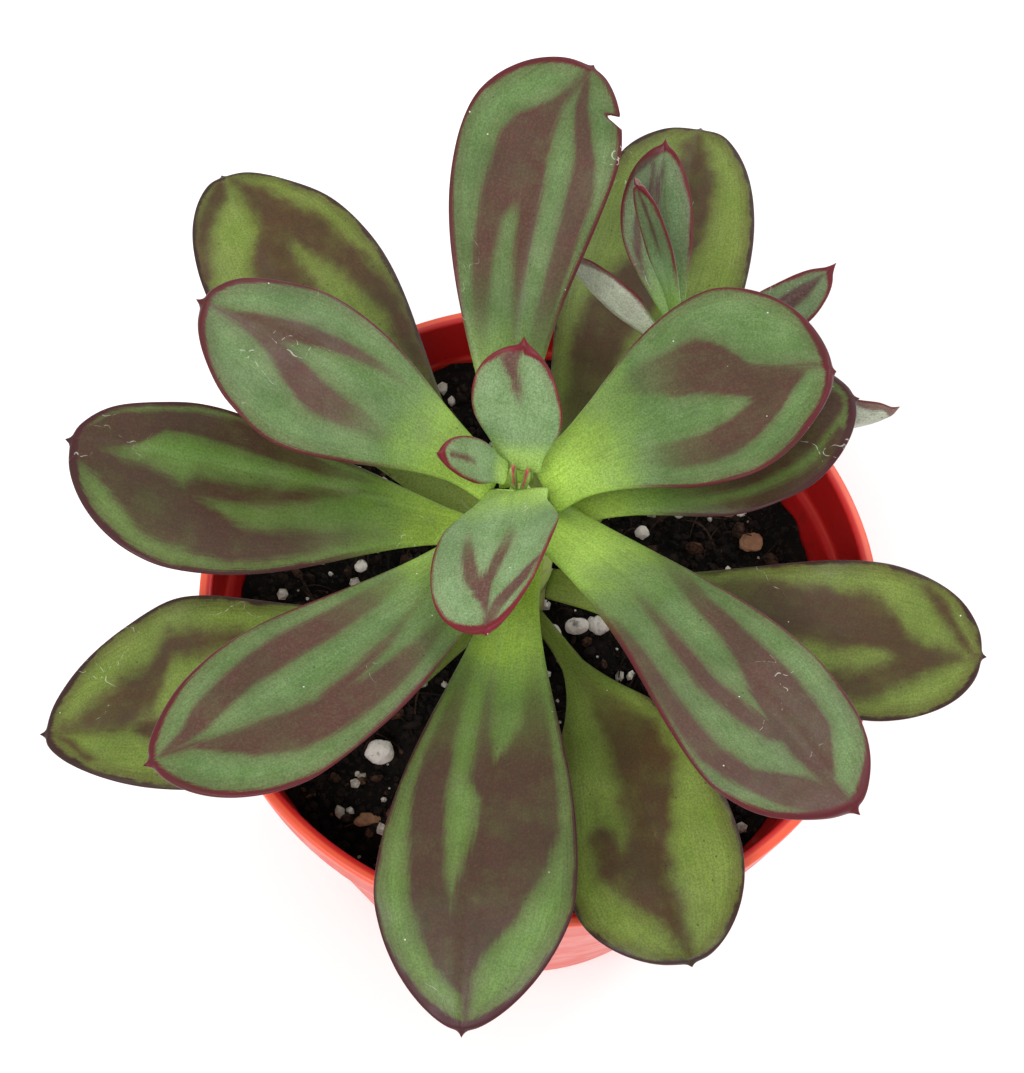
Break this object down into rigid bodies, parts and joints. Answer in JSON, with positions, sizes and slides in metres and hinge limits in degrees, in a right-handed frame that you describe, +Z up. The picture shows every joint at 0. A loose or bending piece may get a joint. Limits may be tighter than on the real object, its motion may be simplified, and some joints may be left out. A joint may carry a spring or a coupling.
{
  "type": "potted echeveria",
  "caption": "Small echeveria rosette of banded spoon-shaped succulent leaves, with a side offset, in a round plastic nursery pot of peat mix.",
  "frame": {"origin": "centre of the pot's flat base, on the surface the pot stands on", "axes": "+Z up out of the pot, +X to the right and +Y to the back as seen from the pot's front, where the soil lies lowest"},
  "size_m": [0.117, 0.1325, 0.1214],
  "materials": {
    "pot": "satin",
    "soil": "matte",
    "perlite": "matte",
    "bark": "matte",
    "stem": "satin",
    "leaf": "satin"
  },
  "bodies": {
    "root": {"pot": "pot", "soil": "soil", "stem": "stem", "side_stem": "stem", "inner_leaf_left": "leaf", "inner_leaf_back": "leaf", "inner_leaf_front": "leaf", "upper_leaf_left": "leaf", "upper_leaf_right": "leaf", "upper_leaf_front_right": "leaf", "upper_leaf_back": "leaf", "upper_leaf_front_left": "leaf", "middle_leaf_left": "leaf", "middle_leaf_right": "leaf", "middle_leaf_front": "leaf", "lower_leaf_back_left": "leaf", "lower_leaf_back_right": "leaf", "lower_leaf_left": "leaf", "lower_leaf_right": "leaf", "lower_leaf_front": "leaf", "offset_leaf_back": "leaf", "offset_leaf_centre": "leaf", "offset_leaf_left": "leaf", "offset_leaf_right_back": "leaf", "offset_leaf_right": "leaf", "bud_leaf_left": "leaf", "bud_leaf_right": "leaf", "perlite_grain_1": "perlite", "perlite_grain_2": "perlite", "perlite_grain_3": "perlite", "perlite_grain_4": "perlite", "perlite_grain_5": "perlite", "perlite_grain_6": "perlite", "perlite_grain_7": "perlite", "perlite_grain_8": "perlite", "perlite_grain_9": "perlite", "bark_chip_1": "bark", "bark_chip_2": "bark", "bark_chip_3": "bark"}
  },
  "joints": []
}
